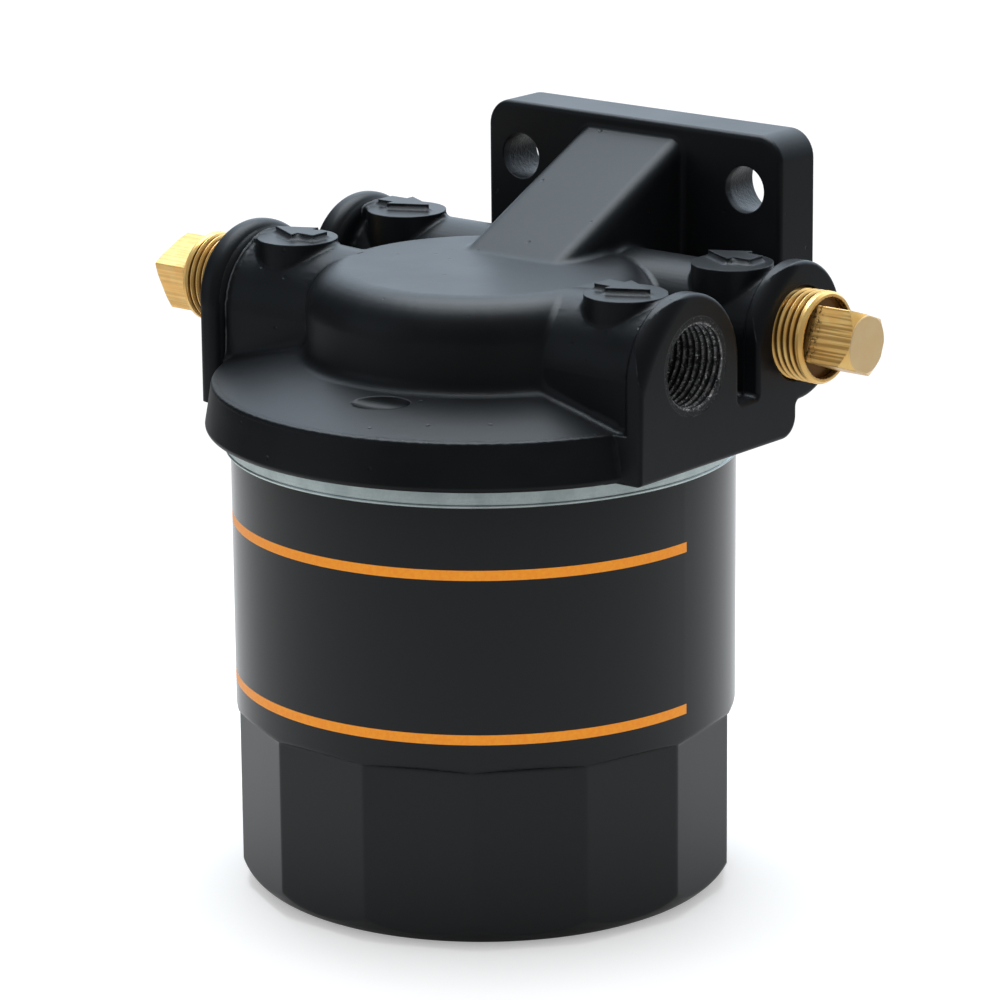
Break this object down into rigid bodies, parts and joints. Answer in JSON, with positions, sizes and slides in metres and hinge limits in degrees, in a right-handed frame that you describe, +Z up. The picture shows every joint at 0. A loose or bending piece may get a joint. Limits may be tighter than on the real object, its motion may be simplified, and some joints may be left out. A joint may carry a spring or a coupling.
{
  "type": "fuel water separator",
  "caption": "Spin-on fuel water separator: black cast filter head with side ports and a wall plate, brass plugs and a faceted steel canister.",
  "frame": {"origin": "centre of the canister's base, on the surface it stands on", "axes": "+Z up along the canister, +X along the ports to the right-hand side, +Y towards the wall that the mounting plate bolts to"},
  "size_m": [0.1419, 0.1085, 0.1397],
  "materials": {
    "head_black": "satin",
    "canister_black": "gloss",
    "plated_steel": "satin",
    "tin_plate": "satin",
    "brass": "satin",
    "black_rubber": "matte",
    "filter_paper": "matte"
  },
  "bodies": {
    "head": {"filter_head": "head_black", "centre_nipple": "plated_steel"},
    "seal": {"canister_gasket": "black_rubber"},
    "canister": {"canister_shell": "canister_black", "seaming_lid": "plated_steel", "tapping_plate": "plated_steel", "collar_seal": "black_rubber", "top_end_cap": "tin_plate", "centre_tube": "tin_plate", "pleated_media": "filter_paper", "bottom_end_cap": "tin_plate", "element_spring": "tin_plate"},
    "left_plug": {"plug_left": "brass"},
    "right_plug": {"plug_right": "brass"}
  },
  "joints": [
    {"name": "canister_travel", "type": "slide", "parent": "head", "child": "seal", "axis": [0, 0, -1], "range_m": [0, 0.0118]},
    {"name": "canister_spin", "type": "hinge", "parent": "seal", "child": "canister", "pos_m": [0, 0, 0], "axis": [0, 0, -1], "range_deg": [0, 2340]},
    {"name": "left_plug_out", "type": "slide", "parent": "head", "child": "left_plug", "axis": [-1, 0, 0], "range_m": [0, 0.012]},
    {"name": "right_plug_out", "type": "slide", "parent": "head", "child": "right_plug", "axis": [1, 0, 0], "range_m": [0, 0.012]}
  ],
  "couplings": [
    {"joint": "canister_travel", "follows": "canister_spin", "m_per_rad": 0.00028875}
  ]
}
